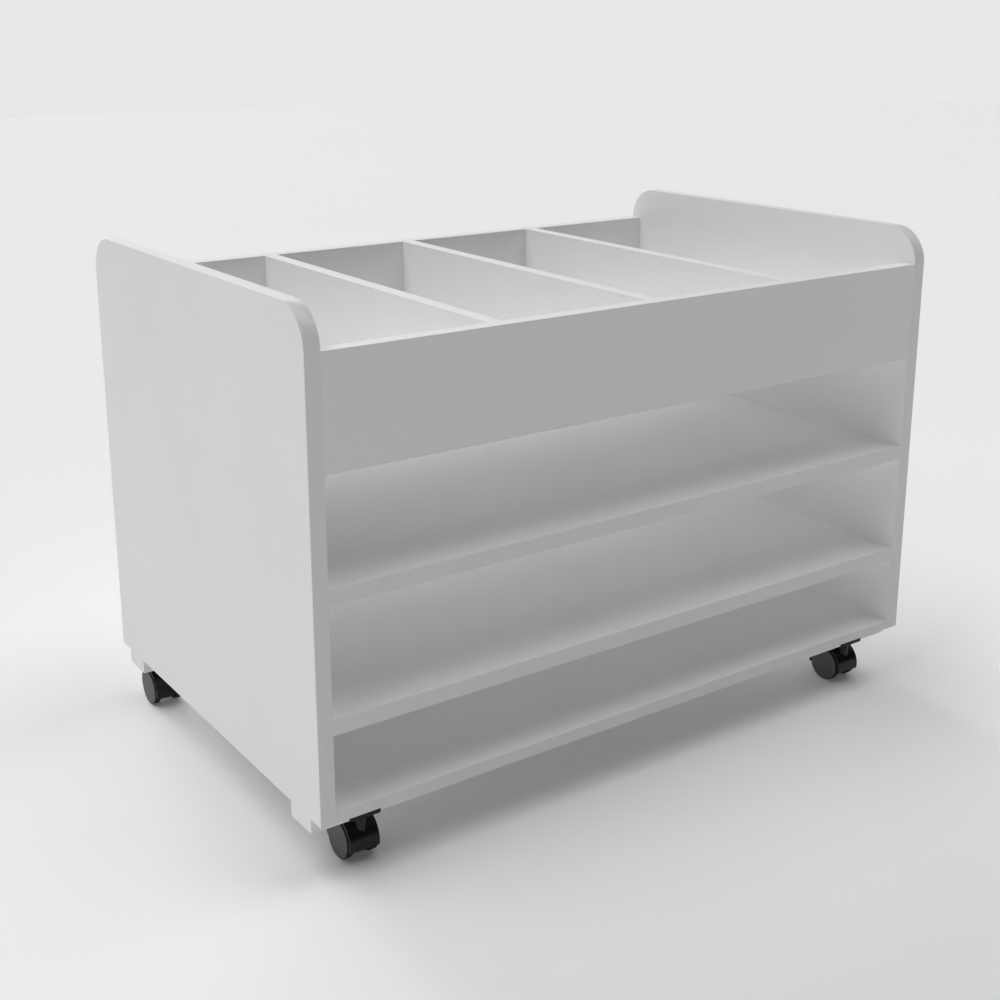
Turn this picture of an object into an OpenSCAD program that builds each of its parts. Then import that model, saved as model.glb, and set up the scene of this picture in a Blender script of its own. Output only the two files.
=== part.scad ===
// Book cart: four open bins on top, three open shelf bays below, on four twin-wheel swivel casters.
// The origin is on the floor under the middle of the cart. +X is to the right, -Y is the front, +Z is up.

/* [Cabinet] */
// Overall length of the cart, end panel to end panel
cart_l = 914.4; // [760:0.1:1220]
// Overall depth of the cart, front to back
cart_d = 571.5; // [460:0.5:760]
// Height of the end panels
end_h = 562.8; // [540:0.1:700]
// Thickness of the cabinet boards
board_t = 18.4; // [16:0.1:22]
// Radius of the top corners of the end panels
corner_r = 46; // [20:1:90]
// Thickness of the plastic edge band
band_t = 1; // [0.5:0.1:2]

/* [Bins] */
// Height of the front and rear fascias
fascia_h = 127; // [90:1:150]
// How far the end panels stand above the fascias
end_rise = 45.9; // [20:0.1:60]

/* [Shelves] */
// Underside of the upper shelf, above the end panels' lower edge
upper_shelf_z = 249.3; // [200:0.1:290]
// Underside of the lower shelf, above the end panels' lower edge
lower_shelf_z = 103; // [70:0.1:150]
// Thickness of the bottom panel
bottom_t = 12.5; // [12:0.1:19]

/* [Caster rails] */
// Width of each rail, front to back
rail_w = 46; // [42:0.5:70]
// Front rail's distance from the front of the cart
rail_front_in = 23.5; // [0:0.5:60]
// Rear rail's distance from the back of the cart
rail_back_in = 25.5; // [0:0.5:60]

/* [Casters] */
// Height of the rails above the floor; the plates are let into them, flush
caster_h = 60; // [59:0.5:70]
// Radius of the wheels
wheel_r = 23.2; // [22:0.1:23.6]
// Overall width of a caster across both wheel caps
caster_w = 40.4; // [40:0.1:50]
// Distance from the swivel stem's axis back to the axle
caster_trail = 13; // [12:0.5:16]
// Width of the hood's central web, between the wheels
web_w = 22; // [16:0.1:22.5]
// Outer radius of the hood
hood_r = 27.8; // [26.6:0.1:28]
// How far the hood's lower edges reach below the axle, in degrees
hood_drop = 13; // [5:1:30]
// Side of the square top plate
plate_w = 39; // [38:0.5:42]
// Thickness of the top plate
plate_t = 3; // [2.5:0.1:4]
// Front casters: distance of their middle from the ends of the cart
front_caster_in = 66.4; // [40:0.1:120]
// Rear casters: distance of their middle from the ends of the cart
rear_caster_in = 35.2; // [30:0.1:120]

/* [Fasteners] */
// Radius of the wood dowels
dowel_r = 4; // [3:0.5:5]
// Length of the wood dowels
dowel_l = 30; // [24:1:36]
// Radius of the cam locks
cam_r = 7.5; // [6:0.5:8]
// Distance of the cam locks from the shelf ends
cam_in = 24; // [20:1:34]
// Gap all round a fastener in its hole
fit_gap = 0.05; // [0.03:0.01:0.1]
// Radial running clearance of the stem and axle
run_gap = 0.05; // [0.02:0.01:0.1]

/* [Hidden] */
$fn = 64;
eps = 0.01;
half_l = cart_l / 2;
half_d = cart_d / 2;
in_l = half_l - board_t;
in_d = half_d - board_t;
base_z = caster_h + board_t;
top_z = base_z + end_h;
fascia_top = top_z - end_rise;
fascia_z = fascia_top - fascia_h;
floor_top = fascia_z + board_t;
upper_z = base_z + upper_shelf_z;
lower_z = base_z + lower_shelf_z;
divider_h = fascia_top - floor_top;
divider_step = in_l / 2;
front_rail_y = -half_d + rail_front_in;
rear_rail_y = half_d - rail_back_in - rail_w;

// hidden joinery
dowel_in = 11;
pin_y = 215;
cam_y = 150;
cam_h = 12.6;
bolt_r = 3;
bolt_head_r = 3.5;
rail_screw_r = 2.1;
rail_screw_head_r = 4.2;
rail_screw_x = 220;
rail_end_dy = 14;
long_screw_l = 48;
short_screw_l = 28;

// caster details
axle_r = 3;
stem_r = 4;
stem_flange_r = 7;
stem_flange_t = 0.8;
stem_low = 33;
spigot_r = 3;
groove_z = 50;
groove_h = 1.6;
groove_r = 3.4;
ring_r = 4.6;
boss_r = 7.4;
boss_reach = 3;
wheel_gap = 0.3;
wheel_half_in = web_w / 2 + wheel_gap * 2;
cap_t = 1.45;
rim_out = caster_w / 2 - 0.3;
rim_in = caster_w / 2 - 1.5;
cap_r = wheel_r - 0.8;
cavity_r = wheel_r + 0.6;
web_r = 20;
hood_half = caster_w / 2 - 1.4;
screw_dx = 14;
screw_dy = 11.5;
plate_ahead = 4;
plate_screw_r = 2;
plate_screw_l = 16;
plate_screw_head_r = 3.8;
plate_z = caster_h;
plate_top = plate_z + plate_t;
boss_top = plate_z - stem_flange_t - 0.1;

// stem positions: front left, front right, rear left, rear right
front_x = half_l - front_caster_in;
rear_x = half_l - rear_caster_in;
front_y = front_rail_y - plate_ahead + plate_w / 2;
rear_y = rear_rail_y - plate_ahead + plate_w / 2;
stem_at = [[-front_x, front_y], [front_x, front_y], [-rear_x, rear_y], [rear_x, rear_y]];

// colours
board_c = [0.72, 0.72, 0.72];
band_c = [0.66, 0.66, 0.66];
black_c = [0.05, 0.05, 0.05];
wheel_c = [0.12, 0.12, 0.12];
cap_c = [0.35, 0.35, 0.34];
steel_c = [0.6, 0.6, 0.62];
wood_c = [0.8, 0.65, 0.45];

// the node to draw, or "all"

// ---- helpers ----

module box(x0, x1, y0, y1, z0, z1) {
  translate([x0, y0, z0])
    cube([x1 - x0, y1 - y0, z1 - z0]);
}

module rod_x(x0, x1, y, z, r) {
  translate([x0, y, z])
    rotate([0, 90, 0])
      cylinder(h = x1 - x0, r = r);
}

module rod_y(y0, y1, x, z, r) {
  translate([x, y1, z])
    rotate([90, 0, 0])
      cylinder(h = y1 - y0, r = r);
}

module rod_z(z0, z1, x, y, r) {
  translate([x, y, z0])
    cylinder(h = z1 - z0, r = r);
}

// both ends of the cart, drawn for the right end
module both_ends() {
  children();
  mirror([1, 0, 0])
    children();
}

// both long sides of the cart, drawn for the back
module both_sides() {
  children();
  mirror([0, 1, 0])
    children();
}

// ---- joinery: each module is used for the pieces and, with a gap, for their holes ----

// dowels along X between the end panels and a board, at heights zs
module end_dowels(zs, ys, g) {
  both_ends()
    for (z = zs, y = ys)
      rod_x(in_l - (dowel_l - dowel_in) - g, in_l + dowel_in + g, y, z, dowel_r + g);
}

// dowels along Y between a fascia and what butts against its back
module side_dowels(xs, zs, g) {
  both_sides()
    for (x = xs, z = zs)
      rod_y(in_d - (dowel_l - dowel_in) - g, in_d + dowel_in + g, x, z, dowel_r + g);
}

fascia_pin_z = [fascia_top - 32, fascia_top - 90];
divider_pin_z = [fascia_top - 28, fascia_top - 80];
floor_pin_x = [-330, -110, 110, 330];
shelf_zs = [upper_z + board_t / 2, lower_z + board_t / 2, fascia_z + board_t / 2];

module fascia_end_dowels(g) {
  end_dowels(fascia_pin_z, [half_d - board_t / 2, -half_d + board_t / 2], g);
}

module shelf_end_dowels(z, g) {
  end_dowels([z], [-pin_y, pin_y], g);
}

module floor_side_dowels(g) {
  side_dowels(floor_pin_x, [fascia_z + board_t / 2], g);
}

module divider_dowels(x, g) {
  side_dowels([x], divider_pin_z, g);
}

// cam bolts of the board whose middle is at height z
module bolts_at(z, g) {
  both_ends()
    for (y = [-cam_y, cam_y]) {
      rod_x(in_l - eps, in_l + dowel_in + g, y, z, bolt_r + 0.5 + g);
      rod_x(in_l - cam_in + 3 - g, in_l, y, z, bolt_r + g);
      rod_x(in_l - cam_in - 2, in_l - cam_in + 3, y, z, bolt_head_r + g);
    }
}

// the bolt's way in from the shelf end to the cam
module bolt_bores(z) {
  both_ends()
    for (y = [-cam_y, cam_y])
      rod_x(in_l - cam_in - 2.5, in_l + eps, y, z, bolt_head_r + fit_gap);
}

module cams_at(z, g) {
  both_ends()
    for (y = [-cam_y, cam_y])
      rod_z(z - board_t / 2 - (g > 0 ? 1 : 0), z - board_t / 2 + cam_h + g, in_l - cam_in, y, cam_r + g);
}

// screw drawn head down: countersunk head flush with z
module sunk_screw(x, y, z, l, r, head_r, g) {
  rod_z(z, z + l + g, x, y, r + g);
  translate([x, y, z])
    cylinder(h = head_r - r, r1 = head_r + g, r2 = r + g);
  if (g > 0)
    rod_z(z - 1, z + eps, x, y, head_r + g);
}

module cross_recess(x, y, z, size, depth) {
  for (a = [0, 90])
    translate([x, y, z])
      rotate([0, 0, a])
        translate([-size / 2, -0.5, -eps])
          cube([size, 1, depth]);
}

rail_mid = [front_rail_y + rail_w / 2, rear_rail_y + rail_w / 2];

module end_screws(g) {
  both_ends()
    for (m = rail_mid, d = [-rail_end_dy, rail_end_dy])
      sunk_screw(half_l - board_t / 2, m + d, caster_h, long_screw_l, rail_screw_r, rail_screw_head_r, g);
}

module panel_screws(g) {
  for (m = rail_mid, x = [-rail_screw_x, 0, rail_screw_x])
    sunk_screw(x, m, caster_h, short_screw_l, rail_screw_r, rail_screw_head_r, g);
}

module plate_screw_shanks(g) {
  for (s = stem_at, i = [-1, 1], j = [-1, 1])
    rod_z(plate_z, plate_z + plate_screw_l + g, s[0] + i * screw_dx, s[1] + j * screw_dy, plate_screw_r + g);
}

// the shallow pockets in the rails' undersides that the caster plates lie in
module plate_pockets() {
  a = plate_w / 2 + fit_gap;
  for (s = stem_at)
    box(s[0] - a, s[0] + a, s[1] - a, s[1] + a, plate_z - 1, plate_top);
}

// the four screws of a plate, drawn round the stem's axis
module plate_screws(g) {
  for (i = [-1, 1], j = [-1, 1])
    sunk_screw(i * screw_dx, j * screw_dy, plate_z, plate_screw_l, plate_screw_r, plate_screw_head_r, g);
}

// ---- cabinet ----

// outline of an end panel, seen from the side, inset by g from its front, top and back
module end_outline(g) {
  r = corner_r - g;
  h = end_h - g;
  w = half_d - g;
  translate([-w, 0])
    square([2 * w, h - r]);
  translate([-w + r, h - r - eps])
    square([2 * (w - r), r + eps]);
  for (s = [-1, 1])
    translate([s * (w - r), h - r])
      circle(r = r);
}

// a board cut to that outline, standing in the YZ plane at x0
module end_slab(x0, g) {
  translate([x0, 0, base_z])
    rotate([90, 0, 90])
      linear_extrude(height = board_t)
        end_outline(g);
}

module end_holes() {
  fascia_end_dowels(fit_gap);
  for (z = shelf_zs) {
    shelf_end_dowels(z, fit_gap);
    bolts_at(z, fit_gap);
  }
  end_screws(fit_gap);
}

module end_board(x0) {
  color(board_c)
    difference() {
      end_slab(x0, band_t);
      end_holes();
    }
}

module end_band(x0) {
  color(band_c)
    difference() {
      end_slab(x0, 0);
      end_core(x0);
    }
}

// what the band wraps round, run out past both faces and below so that it cuts right through
module end_core(x0) {
  translate([x0 - 1, 0, base_z])
    rotate([90, 0, 90])
      linear_extrude(height = board_t + 2)
        end_outline(band_t);
  box(x0 - 1, x0 + board_t + 1, -half_d + band_t, half_d - band_t, base_z - 1, base_z + 1);
}

module left_end_panel() {
  end_board(-half_l);
}

module right_end_panel() {
  end_board(in_l);
}

module left_end_band() {
  end_band(-half_l);
}

module right_end_band() {
  end_band(in_l);
}

// one fascia board, between its top and bottom bands; y0 is its front face
module fascia(y0) {
  color(board_c)
    difference() {
      box(-in_l, in_l, y0, y0 + board_t, fascia_z + band_t, fascia_top - band_t);
      fascia_end_dowels(fit_gap);
      floor_side_dowels(fit_gap);
      for (i = [-1, 0, 1])
        divider_dowels(i * divider_step, fit_gap);
    }
}

module front_fascia() {
  fascia(-half_d);
}

module rear_fascia() {
  fascia(in_d);
}

module fascia_bands() {
  color(band_c)
    for (y = [-half_d, in_d], z = [fascia_z, fascia_top - band_t])
      box(-in_l, in_l, y, y + board_t, z, z + band_t);
}

module bin_floor() {
  z = fascia_z + board_t / 2;
  color(board_c)
    difference() {
      box(-in_l, in_l, -in_d, in_d, fascia_z, floor_top);
      shelf_end_dowels(z, fit_gap);
      floor_side_dowels(fit_gap);
      bolt_bores(z);
      cams_at(z, fit_gap);
    }
}

module divider(x) {
  color(board_c)
    difference() {
      box(x - board_t / 2, x + board_t / 2, -in_d, in_d, floor_top, fascia_top - band_t);
      divider_dowels(x, fit_gap);
    }
}

module left_divider() {
  divider(-divider_step);
}

module middle_divider() {
  divider(0);
}

module right_divider() {
  divider(divider_step);
}

module divider_bands() {
  color(band_c)
    for (i = [-1, 0, 1])
      translate([i * divider_step, 0, 0])
        box(-board_t / 2, board_t / 2, -in_d, in_d, fascia_top - band_t, fascia_top);
}

// a shelf board between its front and back bands
module shelf(z0) {
  z = z0 + board_t / 2;
  color(board_c)
    difference() {
      box(-in_l, in_l, -half_d + band_t, half_d - band_t, z0, z0 + board_t);
      shelf_end_dowels(z, fit_gap);
      bolt_bores(z);
      cams_at(z, fit_gap);
    }
}

module upper_shelf() {
  shelf(upper_z);
}

module lower_shelf() {
  shelf(lower_z);
}

module bottom_panel() {
  color(board_c)
    difference() {
      box(-in_l, in_l, -half_d + band_t, half_d - band_t, base_z, base_z + bottom_t);
      panel_screws(fit_gap);
    }
}

module shelf_bands() {
  color(band_c)
    both_sides() {
      box(-in_l, in_l, half_d - band_t, half_d, upper_z, upper_z + board_t);
      box(-in_l, in_l, half_d - band_t, half_d, lower_z, lower_z + board_t);
      box(-in_l, in_l, half_d - band_t, half_d, base_z, base_z + bottom_t);
    }
}

module rail(y0) {
  color(board_c)
    difference() {
      box(-half_l, half_l, y0, y0 + rail_w, caster_h, base_z);
      end_screws(fit_gap);
      panel_screws(fit_gap);
      plate_screw_shanks(fit_gap);
      plate_pockets();
    }
}

module front_rail() {
  rail(front_rail_y);
}

module rear_rail() {
  rail(rear_rail_y);
}

// ---- joinery pieces ----

module cam_bolts() {
  color(steel_c)
    for (z = shelf_zs)
      bolts_at(z, 0);
}

module cam_locks() {
  color(steel_c)
    for (z = shelf_zs)
      difference() {
        cams_at(z, 0);
        bolt_bores(z);
        both_ends()
          for (y = [-cam_y, cam_y])
            cross_recess(in_l - cam_in, y, z - board_t / 2, 7, 1.6);
      }
}

module wood_dowels() {
  color(wood_c) {
    fascia_end_dowels(0);
    for (z = shelf_zs)
      shelf_end_dowels(z, 0);
    floor_side_dowels(0);
    for (i = [-1, 0, 1])
      divider_dowels(i * divider_step, 0);
  }
}

module rail_end_screws() {
  color(steel_c)
    difference() {
      end_screws(0);
      both_ends()
        for (m = rail_mid, d = [-rail_end_dy, rail_end_dy])
          cross_recess(half_l - board_t / 2, m + d, caster_h, 4, 1.4);
    }
}

module rail_panel_screws() {
  color(steel_c)
    difference() {
      panel_screws(0);
      for (m = rail_mid, x = [-rail_screw_x, 0, rail_screw_x])
        cross_recess(x, m, caster_h, 4, 1.4);
    }
}

module caster_screws() {
  color(black_c)
    for (s = stem_at)
      translate([s[0], s[1], 0])
        difference() {
          plate_screws(0);
          for (i = [-1, 1], j = [-1, 1])
            cross_recess(i * screw_dx, j * screw_dy, plate_z, 3.6, 1.3);
        }
}

module grip_rings() {
  color(steel_c)
    for (s = stem_at)
      translate([s[0], s[1], groove_z - groove_h / 2 + 0.1])
        difference() {
          cylinder(h = groove_h - 0.2, r = ring_r);
          translate([0, 0, -1])
            cylinder(h = groove_h + 2, r = groove_r + 0.05);
          translate([-1, 0, -1])
            cube([2, ring_r + 1, groove_h + 2]);
        }
}

// ---- caster pieces, drawn with the stem on the Z axis and the floor at z = 0 ----

module at_stem(i) {
  translate([stem_at[i][0], stem_at[i][1], 0])
    children();
}

// turns a shape drawn round Z into one round the axle; its +Z becomes +X
module at_axle() {
  translate([0, caster_trail, wheel_r])
    rotate([90, 0, 90])
      children();
}

module plate_shape() {
  k = 4;
  a = plate_w / 2;
  color(black_c)
    difference() {
      union() {
        box(-a, a, -a + k, a - k, plate_z, plate_top);
        box(-a + k, a - k, -a, a, plate_z, plate_top);
        for (i = [-1, 1], j = [-1, 1])
          rod_z(plate_z, plate_top, i * (a - k), j * (a - k), k);
      }
      rod_z(plate_z - 1, plate_top + 1, 0, 0, spigot_r + 0.02);
      plate_screws(fit_gap);
    }
}

module stem_shape() {
  z1 = plate_z - stem_flange_t;
  g0 = groove_z - groove_h / 2;
  g1 = groove_z + groove_h / 2;
  color(steel_c)
    rotate_extrude()
      polygon([
        [0, stem_low], [stem_r - 0.6, stem_low], [stem_r, stem_low + 0.6],
        [stem_r, g0], [groove_r, g0], [groove_r, g1], [stem_r, g1],
        [stem_r, z1], [stem_flange_r, z1], [stem_flange_r, plate_z],
        [spigot_r, plate_z], [spigot_r, plate_top - 0.3], [0, plate_top - 0.3]
      ]);
}

// what the hood is cut from: the arch over the wheels, the disc between them and the stem boss
module hood_block() {
  c = 0.5;
  at_axle() {
    rotate([0, 0, -hood_drop])
      rotate_extrude(angle = 180 + 2 * hood_drop)
        polygon([
          [web_r - 8, -hood_half], [hood_r - c, -hood_half], [hood_r, -hood_half + c],
          [hood_r, hood_half - c], [hood_r - c, hood_half], [web_r - 8, hood_half]
        ]);
    translate([0, 0, -web_w])
      cylinder(h = 2 * web_w, r = web_r);
  }
  rod_z(wheel_r + 4, boss_top, 0, 0, boss_r);
  rod_z(wheel_r + 4, boss_top, 0, -boss_reach, boss_r);
  box(-boss_r, boss_r, -boss_reach, 0, wheel_r + 4, boss_top);
}

// the room each wheel turns in
module wheel_room() {
  for (s = [0, 1])
    mirror([s, 0, 0])
      at_axle()
        translate([0, 0, web_w / 2])
          cylinder(h = caster_w, r = cavity_r);
}

module hood_shape() {
  color(black_c)
    difference() {
      hood_block();
      wheel_room();
      at_axle()
        translate([0, 0, -web_w])
          cylinder(h = 2 * web_w, r = axle_r + 0.02);
      rod_z(stem_low - 0.5, boss_top + 1, 0, 0, stem_r + run_gap);
      rod_z(groove_z - groove_h / 2 - 0.1, groove_z + groove_h / 2 + 0.1, 0, 0, ring_r + 0.2);
    }
}

module axle_shape() {
  color(steel_c)
    at_axle()
      translate([0, 0, -rim_in + 0.7])
        cylinder(h = 2 * (rim_in - 0.7), r = axle_r);
}

// right-hand wheel: hub, plate and rim, with a shallow seat for the cap
module wheel_shape() {
  c = 0.5;
  a = wheel_half_in;
  hub_r = 7;
  in_r = wheel_r - 3;
  color(wheel_c)
    at_axle()
      rotate_extrude()
        polygon([
          [axle_r + run_gap, a], [hub_r, a], [hub_r, rim_in - 2.4], [in_r, rim_in - 2.4], [in_r, a],
          [wheel_r - c, a], [wheel_r, a + c], [wheel_r, rim_out - c], [wheel_r - c, rim_out],
          [cap_r + fit_gap, rim_out], [cap_r + fit_gap, rim_in], [axle_r + run_gap, rim_in]
        ]);
}

module cap_shape() {
  c = 0.3;
  color(cap_c)
    at_axle()
      rotate_extrude()
        polygon([
          [0, rim_in + 0.05], [cap_r, rim_in + 0.05], [cap_r, caster_w / 2 - c],
          [cap_r - c, caster_w / 2], [0, caster_w / 2]
        ]);
}

module left_of() {
  mirror([1, 0, 0])
    children();
}

module fl_plate() {
  at_stem(0)
    plate_shape();
}

module fl_stem() {
  at_stem(0)
    stem_shape();
}

module fl_hood() {
  at_stem(0)
    hood_shape();
}

module fl_axle() {
  at_stem(0)
    axle_shape();
}

module fl_wheel_l() {
  at_stem(0)
    left_of()
      wheel_shape();
}

module fl_wheel_r() {
  at_stem(0)
    wheel_shape();
}

module fl_cap_l() {
  at_stem(0)
    left_of()
      cap_shape();
}

module fl_cap_r() {
  at_stem(0)
    cap_shape();
}

module fr_plate() {
  at_stem(1)
    plate_shape();
}

module fr_stem() {
  at_stem(1)
    stem_shape();
}

module fr_hood() {
  at_stem(1)
    hood_shape();
}

module fr_axle() {
  at_stem(1)
    axle_shape();
}

module fr_wheel_l() {
  at_stem(1)
    left_of()
      wheel_shape();
}

module fr_wheel_r() {
  at_stem(1)
    wheel_shape();
}

module fr_cap_l() {
  at_stem(1)
    left_of()
      cap_shape();
}

module fr_cap_r() {
  at_stem(1)
    cap_shape();
}

module rl_plate() {
  at_stem(2)
    plate_shape();
}

module rl_stem() {
  at_stem(2)
    stem_shape();
}

module rl_hood() {
  at_stem(2)
    hood_shape();
}

module rl_axle() {
  at_stem(2)
    axle_shape();
}

module rl_wheel_l() {
  at_stem(2)
    left_of()
      wheel_shape();
}

module rl_wheel_r() {
  at_stem(2)
    wheel_shape();
}

module rl_cap_l() {
  at_stem(2)
    left_of()
      cap_shape();
}

module rl_cap_r() {
  at_stem(2)
    cap_shape();
}

module rr_plate() {
  at_stem(3)
    plate_shape();
}

module rr_stem() {
  at_stem(3)
    stem_shape();
}

module rr_hood() {
  at_stem(3)
    hood_shape();
}

module rr_axle() {
  at_stem(3)
    axle_shape();
}

module rr_wheel_l() {
  at_stem(3)
    left_of()
      wheel_shape();
}

module rr_wheel_r() {
  at_stem(3)
    wheel_shape();
}

module rr_cap_l() {
  at_stem(3)
    left_of()
      cap_shape();
}

module rr_cap_r() {
  at_stem(3)
    cap_shape();
}

left_end_panel();
right_end_panel();
left_end_band();
right_end_band();
front_fascia();
rear_fascia();
fascia_bands();
bin_floor();
left_divider();
middle_divider();
right_divider();
divider_bands();
upper_shelf();
lower_shelf();
bottom_panel();
shelf_bands();
front_rail();
rear_rail();
cam_bolts();
cam_locks();
wood_dowels();
rail_end_screws();
rail_panel_screws();
caster_screws();
grip_rings();
fl_plate();
fl_stem();
fl_hood();
fl_axle();
fl_wheel_l();
fl_wheel_r();
fl_cap_l();
fl_cap_r();
fr_plate();
fr_stem();
fr_hood();
fr_axle();
fr_wheel_l();
fr_wheel_r();
fr_cap_l();
fr_cap_r();
rl_plate();
rl_stem();
rl_hood();
rl_axle();
rl_wheel_l();
rl_wheel_r();
rl_cap_l();
rl_cap_r();
rr_plate();
rr_stem();
rr_hood();
rr_axle();
rr_wheel_l();
rr_wheel_r();
rr_cap_l();
rr_cap_r();
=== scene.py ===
"""The book cart's looks: materials, small edge rounds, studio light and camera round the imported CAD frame."""

import math

import bpy
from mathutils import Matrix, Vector

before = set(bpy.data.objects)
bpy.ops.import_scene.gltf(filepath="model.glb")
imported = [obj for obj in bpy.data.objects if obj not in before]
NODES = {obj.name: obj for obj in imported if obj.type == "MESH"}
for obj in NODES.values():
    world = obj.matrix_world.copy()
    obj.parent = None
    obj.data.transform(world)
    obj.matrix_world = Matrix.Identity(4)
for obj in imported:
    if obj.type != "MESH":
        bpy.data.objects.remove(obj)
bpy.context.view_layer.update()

CASTERS = ("fl", "fr", "rl", "rr")
BOARDS = (
    "left_end_panel", "right_end_panel", "front_fascia", "rear_fascia", "bin_floor",
    "left_divider", "middle_divider", "right_divider", "upper_shelf", "lower_shelf",
    "bottom_panel",
)
RAILS = ("front_rail", "rear_rail")
BANDS = ("left_end_band", "right_end_band", "fascia_bands", "divider_bands", "shelf_bands")
STEEL = ("cam_bolts", "cam_locks", "rail_end_screws", "rail_panel_screws", "grip_rings")


def each(suffix):
    """The four casters' nodes that end in suffix."""
    return tuple(f"{c}_{suffix}" for c in CASTERS)


# ---------------------------------------------------------------- materials

BOARD_GREY = (0.9, 0.9, 0.9)
BAND_GREY = (0.86, 0.86, 0.86)
HOOD_BLACK = (0.012, 0.012, 0.0112)
HOOD_DUST = (0.022, 0.022, 0.021)
DISC_GREY = (0.08, 0.079, 0.072)
DISC_DUST = (0.12, 0.12, 0.11)
TREAD_BLACK = (0.005, 0.005, 0.005)
TREAD_DIRT = (0.02, 0.02, 0.019)
ZINC_GREY = (0.62, 0.63, 0.65)
PLATE_BLACK = (0.009, 0.009, 0.0092)
PLATE_RUB = (0.025, 0.025, 0.0255)
BEECH_PALE = (0.66, 0.47, 0.29)
BEECH_MIDDLE = (0.50, 0.33, 0.18)
BEECH_FLECK = (0.38, 0.23, 0.12)
FLOOR_WHITE = (0.97, 0.97, 0.97)

# Edge rounds: radius and weld distance in metres, angles in degrees.
EDGE_ROUND = 0.0002
EDGE_STEPS = 2
WELD_WITHIN = 0.000002
FLAT_WITHIN = 0.1
SHARP_ABOVE = 30

# A noise value lies mostly between these.
NOISE_LOW = 0.3
NOISE_HIGH = 0.7


class Shader:
    """A material built round one Principled node, with short calls for the usual texture nodes."""

    def __init__(self, name):
        self.mat = bpy.data.materials.new(name)
        self.mat.use_nodes = True
        self.tree = self.mat.node_tree
        self.tree.nodes.clear()
        self.bsdf = self.add("ShaderNodeBsdfPrincipled")
        out = self.add("ShaderNodeOutputMaterial")
        self.link(self.bsdf.outputs[0], out.inputs["Surface"])
        self.coord = self.add("ShaderNodeTexCoord").outputs["Object"]

    def add(self, kind, **props):
        n = self.tree.nodes.new(kind)
        for k, v in props.items():
            setattr(n, k, v)
        return n

    def link(self, a, b):
        self.tree.links.new(a, b)

    def put(self, socket, value):
        """Sets an input to a number, a colour or another node's output."""
        if isinstance(value, bpy.types.NodeSocket):
            self.link(value, socket)
        else:
            socket.default_value = value

    def noise(self, scale, detail=2.0, rough=0.5, stretch=None):
        """A noise value about 0 to 1. stretch scales the coordinates first, for streaks."""
        at = self.coord
        if stretch:
            m = self.add("ShaderNodeMapping")
            self.link(self.coord, m.inputs["Vector"])
            m.inputs["Scale"].default_value = stretch
            at = m.outputs[0]
        n = self.add("ShaderNodeTexNoise")
        self.link(at, n.inputs["Vector"])
        n.inputs["Scale"].default_value = scale
        n.inputs["Detail"].default_value = detail
        n.inputs["Roughness"].default_value = rough
        return n.outputs["Fac"]

    def remap(self, value, low, high, to_low, to_high):
        """value's span from low to high, mapped to the span from to_low to to_high and held inside it."""
        n = self.add("ShaderNodeMapRange")
        for socket, v in zip(n.inputs, (value, low, high, to_low, to_high)):
            self.put(socket, v)
        return n.outputs[0]

    def spread(self, noise, to_low, to_high):
        """A noise value's usual span, spread from to_low to to_high."""
        return self.remap(noise, NOISE_LOW, NOISE_HIGH, to_low, to_high)

    def math(self, operation, a, b):
        n = self.add("ShaderNodeMath", operation=operation)
        self.put(n.inputs[0], a)
        self.put(n.inputs[1], b)
        return n.outputs[0]

    def tint(self, colour, *factors):
        """colour times each of the factors."""
        value = factors[0]
        for f in factors[1:]:
            value = self.math("MULTIPLY", value, f)
        n = self.add("ShaderNodeVectorMath", operation="SCALE")
        n.inputs[0].default_value = colour
        self.put(n.inputs["Scale"], value)
        return n.outputs[0]

    def blend(self, factor, a, b):
        """Colour a at factor 0, colour b at factor 1."""
        n = self.add("ShaderNodeMix", data_type="RGBA")
        self.put(n.inputs["Factor"], factor)
        for socket, v in zip([s for s in n.inputs if s.type == "RGBA"], (a, b)):
            self.put(socket, (*v, 1) if isinstance(v, tuple) else v)
        return next(s for s in n.outputs if s.type == "RGBA")

    def bump(self, height, distance, strength, onto=None):
        """A normal from a height value, distance metres deep, laid over another bump if onto is given."""
        n = self.add("ShaderNodeBump")
        n.inputs["Strength"].default_value = strength
        n.inputs["Distance"].default_value = distance
        self.put(n.inputs["Height"], height)
        if onto:
            self.link(onto, n.inputs["Normal"])
        return n.outputs[0]

    def finish(self, colour, roughness, normal=None, metallic=0.0, specular=0.5):
        """Plugs everything into the Principled node and hands the material back."""
        self.put(self.bsdf.inputs["Base Color"], (*colour, 1) if isinstance(colour, tuple) else colour)
        self.put(self.bsdf.inputs["Roughness"], roughness)
        self.bsdf.inputs["Metallic"].default_value = metallic
        self.bsdf.inputs["Specular IOR Level"].default_value = specular
        if normal:
            self.link(normal, self.bsdf.inputs["Normal"])
        return self.mat


def laminate():
    """Light melamine-faced board: a fine pearl texture, faint clouds and soft handling marks in its sheen."""
    s = Shader("laminate_face")
    pearl = s.noise(1500, 3, 0.6)
    pores = s.noise(420, 2)
    clouds = s.noise(5, 3)
    marks = s.noise(16, 4, 0.65, (1, 1, 0.35))
    colour = s.tint(
        BOARD_GREY,
        s.spread(clouds, 0.985, 1.012),
        s.spread(pearl, 0.982, 1.018),
    )
    sheen = s.remap(marks, 0.45, 0.7, 0.48, 0.40)
    roughness = s.math("ADD", sheen, s.spread(pearl, -0.03, 0.03))
    normal = s.bump(pores, 0.00002, 0.5, s.bump(pearl, 0.000012, 0.6))
    return s.finish(colour, roughness, normal, specular=0.4)


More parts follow.
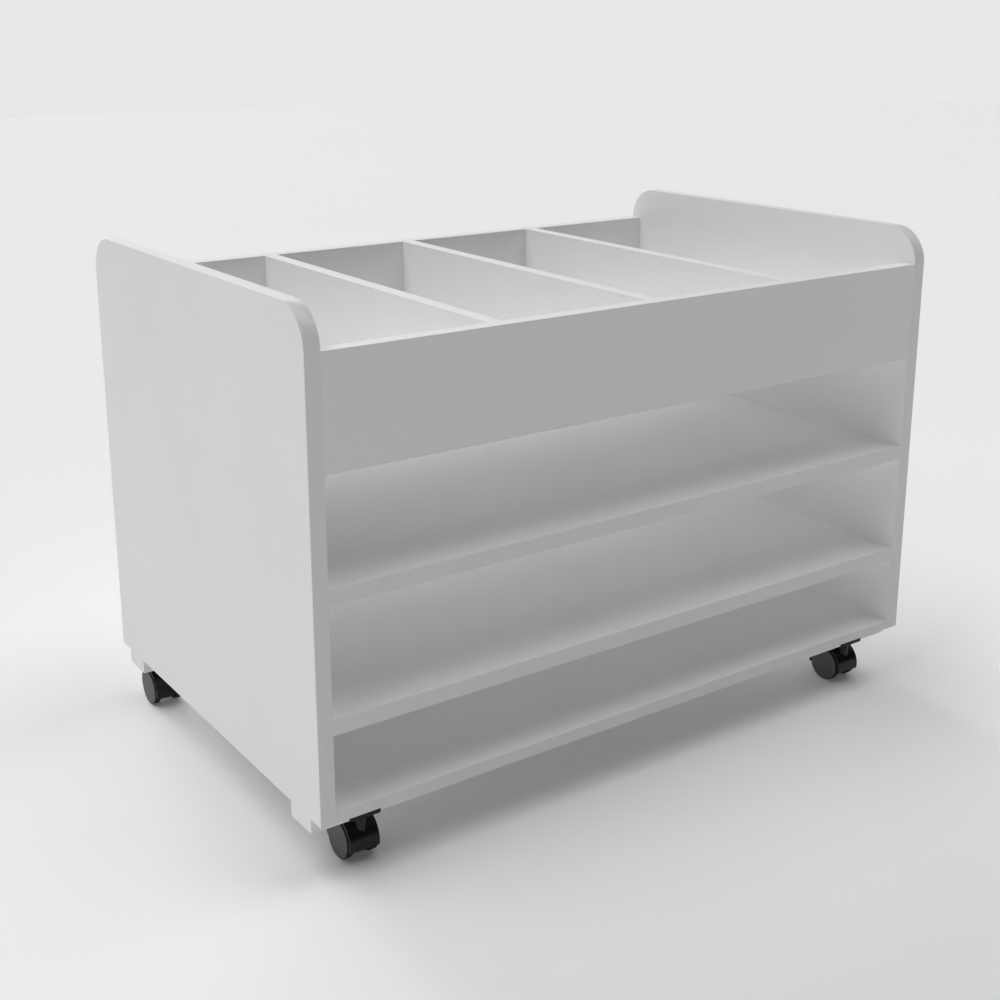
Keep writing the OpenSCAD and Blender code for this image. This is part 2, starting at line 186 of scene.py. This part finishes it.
def edge_band():
    """The matching band glued round the boards' edges: a touch smoother, with faint streaks from scraping."""
    s = Shader("laminate_edge")
    streaks = s.noise(60, 3, 0.6, (1, 1, 30))
    cross = s.noise(60, 3, 0.6, (30, 1, 1))
    grain = s.noise(1900, 2)
    wear = s.noise(24, 5, 0.7)
    colour = s.tint(
        BAND_GREY,
        s.spread(grain, 0.985, 1.015),
        s.remap(wear, 0.5, 0.75, 1.0, 0.975),
    )
    roughness = s.remap(wear, 0.35, 0.75, 0.36, 0.46)
    normal = s.bump(streaks, 0.00001, 0.3, s.bump(cross, 0.00001, 0.3, s.bump(grain, 0.00001, 0.4)))
    return s.finish(colour, roughness, normal, specular=0.4)


def moulded(name, colour, dust, roughness, texture_scale, specular=0.5):
    """Moulded plastic: a spark-eroded texture, a little dust in the low spots and a few dull scuffs."""
    s = Shader(name)
    erosion = s.noise(texture_scale, 3, 0.6)
    film = s.noise(70, 4, 0.6)
    scuffs = s.noise(160, 4, 0.7, (1, 6, 1))
    base = s.tint(colour, s.spread(erosion, 0.9, 1.1))
    shade = s.blend(s.remap(film, 0.62, 0.9, 0.0, 0.5), base, dust)
    dull = s.remap(scuffs, 0.5, 0.8, roughness, roughness + 0.15)
    rough = s.math("ADD", dull, s.spread(erosion, -0.03, 0.03))
    return s.finish(shade, rough, s.bump(erosion, 0.00003, 0.5), specular=specular)


def tyre():
    """The wheels' plain tread: rubbed matt where it rolls, with grey floor dust ground into it."""
    s = Shader("tread_black")
    grain = s.noise(1400, 3, 0.6)
    bands = s.noise(500, 3, 0.6, (6, 1, 1))
    dirt = s.noise(90, 5, 0.65)
    base = s.tint(TREAD_BLACK, s.spread(grain, 0.85, 1.15))
    shade = s.blend(s.remap(dirt, 0.5, 0.85, 0.0, 0.35), base, TREAD_DIRT)
    normal = s.bump(bands, 0.00004, 0.5, s.bump(grain, 0.00003, 0.5))
    return s.finish(shade, s.remap(dirt, 0.4, 0.7, 0.45, 0.65), normal, specular=0.2)


def zinc():
    """Bright zinc plating: fine crystals, with hazy patches where it has dulled."""
    s = Shader("zinc_plating")
    crystals = s.noise(800, 3, 0.6)
    haze = s.noise(60, 4)
    colour = s.tint(ZINC_GREY, s.spread(haze, 0.88, 1.06), s.spread(crystals, 0.95, 1.05))
    return s.finish(colour, s.spread(haze, 0.28, 0.45), s.bump(crystals, 0.00002, 0.4), metallic=1.0)


def black_steel():
    """Pressed steel plate in satin black e-coat, a little orange-peeled, rubbed at the high spots."""
    s = Shader("satin_black_plate")
    peel = s.noise(520, 2)
    fine = s.noise(2400, 2)
    rub = s.noise(110, 5, 0.7)
    base = s.tint(PLATE_BLACK, s.spread(fine, 0.9, 1.1))
    shade = s.blend(s.remap(rub, 0.62, 0.8, 0.0, 0.5), base, PLATE_RUB)
    normal = s.bump(peel, 0.00004, 0.4, s.bump(fine, 0.00001, 0.4))
    return s.finish(shade, s.remap(rub, 0.4, 0.7, 0.34, 0.48), normal, specular=0.22)


def beech():
    """Fluted beech dowels: short flecks and growth lines along the pin."""
    s = Shader("beech_wood")
    rings = s.noise(300, 4, 0.6, (0.12, 1, 1))
    flecks = s.noise(900, 3, 0.6, (0.2, 1, 1))
    shade = s.blend(rings, BEECH_MIDDLE, BEECH_PALE)
    shade = s.blend(s.remap(flecks, 0.58, 0.7, 0.0, 0.6), shade, BEECH_FLECK)
    return s.finish(shade, s.spread(rings, 0.55, 0.7), s.bump(rings, 0.0001, 0.4))


def dress(names, material):
    """Gives each of the named nodes the material, on the object rather than on its mesh."""
    for n in names:
        mesh = NODES[n]
        if not mesh.material_slots:
            mesh.data.materials.append(material)
        for slot in mesh.material_slots:
            slot.link = "OBJECT"
            slot.material = material


def ease_edges(names):
    """Rounds the sharp edges of CAD nodes by modifiers, so that they catch the light as real edges do.

    The mesh is welded and its flat faces are joined up first, so that only real edges are rounded.
    """
    for n in names:
        weld = NODES[n].modifiers.new("weld", "WELD")
        weld.merge_threshold = WELD_WITHIN
        flat = NODES[n].modifiers.new("flat", "DECIMATE")
        flat.decimate_type = "DISSOLVE"
        flat.angle_limit = math.radians(FLAT_WITHIN)
        ease = NODES[n].modifiers.new("ease", "BEVEL")
        ease.width = EDGE_ROUND
        ease.segments = EDGE_STEPS
        ease.limit_method = "ANGLE"
        ease.angle_limit = math.radians(SHARP_ABOVE)
        ease.harden_normals = True
        ease.use_clamp_overlap = True


dress(BOARDS + RAILS, laminate())
dress(BANDS, edge_band())
dress(STEEL + each("stem") + each("axle"), zinc())
dress(("wood_dowels",), beech())
dress(each("plate") + ("caster_screws",), black_steel())
dress(each("hood"), moulded("hood_black", HOOD_BLACK, HOOD_DUST, 0.22, 900, specular=0.26))
dress(each("wheel_l") + each("wheel_r"), tyre())
dress(each("cap_l") + each("cap_r"), moulded("disc_grey", DISC_GREY, DISC_DUST, 0.45, 1100))
ease_edges(BOARDS + BANDS + each("cap_l") + each("cap_r"))

# ---------------------------------------------------------------- stage, light and camera

# The floor's half width in metres, the backdrop's brightness and each light's width in degrees.
FLOOR_HALF = 12.0
BACKDROP = 0.81
SOFT_ANGLE = 32.0
# Each light's name, azimuth and elevation in degrees, strength, and whether it casts shadows.
LIGHTS = (
    ("back", 180, 25, 1.26, True),
    ("back_right", 150, 25, 0.28, True),
    ("right_low", 90, 25, 0.24, True),
    ("right_high", 60, 66, 0.63, True),
    ("left", 270, 45, 0.32, True),
    ("left_high", 240, 66, 0.85, True),
    ("left_fill", 270, 0, 0.32, False),
    ("top_fill", 0, 89, 0.29, False),
)


def floor():
    """A wide pale floor at z = 0."""
    mesh = bpy.data.meshes.new("studio_floor")
    h = FLOOR_HALF
    corners = [(-h, -h, 0), (h, -h, 0), (h, h, 0), (-h, h, 0)]
    mesh.from_pydata(corners, [], [(0, 1, 2, 3)])
    made = bpy.data.objects.new("studio_floor", mesh)
    bpy.context.scene.collection.objects.link(made)
    s = Shader("pale_floor")
    colour = s.tint(FLOOR_WHITE, s.spread(s.noise(2, 3), 0.99, 1.0))
    mesh.materials.append(s.finish(colour, 0.9, specular=0.1))


def backdrop(brightness):
    """A plain world: the floor's own brightness where the camera sees it, and dark for everything else."""
    world = bpy.data.worlds.new("studio")
    bpy.context.scene.world = world
    world.use_nodes = True
    tree = world.node_tree
    tree.nodes.clear()
    seen = tree.nodes.new("ShaderNodeBackground")
    seen.inputs["Color"].default_value = (1, 1, 1, 1)
    seen.inputs["Strength"].default_value = brightness
    lit = tree.nodes.new("ShaderNodeBackground")
    lit.inputs["Color"].default_value = (1, 1, 1, 1)
    lit.inputs["Strength"].default_value = 0.0
    path = tree.nodes.new("ShaderNodeLightPath")
    mix = tree.nodes.new("ShaderNodeMixShader")
    out = tree.nodes.new("ShaderNodeOutputWorld")
    tree.links.new(path.outputs["Is Camera Ray"], mix.inputs[0])
    tree.links.new(lit.outputs[0], mix.inputs[1])
    tree.links.new(seen.outputs[0], mix.inputs[2])
    tree.links.new(mix.outputs[0], out.inputs["Surface"])


def soft_light(name, azimuth, elevation, strength, shadow=True):
    """A wide soft light far off: azimuth from the front round by the right side, elevation over the floor."""
    light = bpy.data.lights.new(name, "SUN")
    light.angle = math.radians(SOFT_ANGLE)
    light.energy = strength
    light.use_shadow = shadow
    made = bpy.data.objects.new(name, light)
    bpy.context.scene.collection.objects.link(made)
    a, e = math.radians(azimuth), math.radians(elevation)
    towards = Vector((math.sin(a) * math.cos(e), -math.cos(a) * math.cos(e), math.sin(e)))
    made.rotation_euler = towards.to_track_quat("Z", "Y").to_euler()


floor()
backdrop(BACKDROP)
for light_args in LIGHTS:
    soft_light(*light_args)

# The camera: place in metres, angles in degrees, and the lens shift in widths of the frame.
CAMERA_PLACE = (-1.0726, -1.4946, 0.9105)
CAMERA_PITCH = 15.155
CAMERA_TURN = 35.0
SENSOR_MM = 36.0
LENS_MM = 51.444
SHIFT = (0.0003, -0.0974)

camera_data = bpy.data.cameras.new("camera")
camera_data.sensor_width = SENSOR_MM
camera_data.lens = LENS_MM
camera_data.shift_x, camera_data.shift_y = SHIFT
camera_data.clip_start = 0.05
camera_data.clip_end = 60.0
camera = bpy.data.objects.new("camera", camera_data)
camera.location = CAMERA_PLACE
camera.rotation_euler = (math.radians(90 - CAMERA_PITCH), 0.0, math.radians(-CAMERA_TURN))
bpy.context.scene.collection.objects.link(camera)
bpy.context.scene.camera = camera

view = bpy.context.scene.view_settings
view.view_transform = "Standard"
view.look = "None"
view.exposure = 0.0
view.gamma = 1.0
